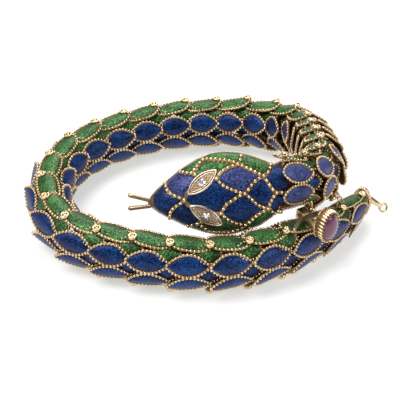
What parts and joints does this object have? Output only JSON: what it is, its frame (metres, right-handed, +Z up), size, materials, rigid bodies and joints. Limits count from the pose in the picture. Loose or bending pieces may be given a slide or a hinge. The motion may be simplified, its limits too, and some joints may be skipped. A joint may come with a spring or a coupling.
{
  "type": "snake bracelet",
  "caption": "Coiled articulated snake bracelet of gold links with blue and green enamel scales, enamelled head and forked tongue.",
  "frame": {"origin": "centre of the bracelet's box at the level it lies on", "axes": "+Z up through the wrist opening, -Y the front side under the head, -X the way the head points"},
  "size_m": [0.0876, 0.069, 0.0265],
  "materials": {
    "gold": "polished yellow gold",
    "enamelled_gold": "gold with translucent blue and green enamel",
    "white_gold": "polished white gold",
    "grey_gold": "satin grey gold",
    "diamond": "cut clear stone",
    "ruby": "polished pink-red cabochon"
  },
  "bodies": {
    "root": {"link_01": "enamelled_gold", "link_02": "enamelled_gold", "link_03": "enamelled_gold", "link_04": "enamelled_gold", "link_05": "enamelled_gold", "link_06": "enamelled_gold", "link_07": "enamelled_gold", "link_08": "enamelled_gold", "link_09": "enamelled_gold", "link_10": "enamelled_gold", "link_11": "enamelled_gold", "link_12": "enamelled_gold", "link_13": "enamelled_gold", "link_14": "enamelled_gold", "link_15": "enamelled_gold", "link_16": "enamelled_gold", "link_17": "enamelled_gold", "link_18": "enamelled_gold", "link_19": "enamelled_gold", "link_20": "enamelled_gold", "link_21": "enamelled_gold", "link_22": "enamelled_gold", "link_23": "enamelled_gold", "link_24": "enamelled_gold", "link_25": "enamelled_gold", "link_26": "enamelled_gold", "link_27": "enamelled_gold", "link_28": "enamelled_gold", "tail_tip": "gold", "head": "enamelled_gold", "tongue": "gold", "eye_setting_upper": "white_gold", "eye_setting_lower": "white_gold", "eye_stone_upper": "diamond", "eye_stone_lower": "diamond", "clasp_box": "grey_gold", "clasp_blade": "grey_gold", "ruby_bezel": "gold", "ruby": "ruby", "chain_link_1": "gold", "chain_link_2": "gold", "chain_link_3": "gold"}
  },
  "joints": []
}
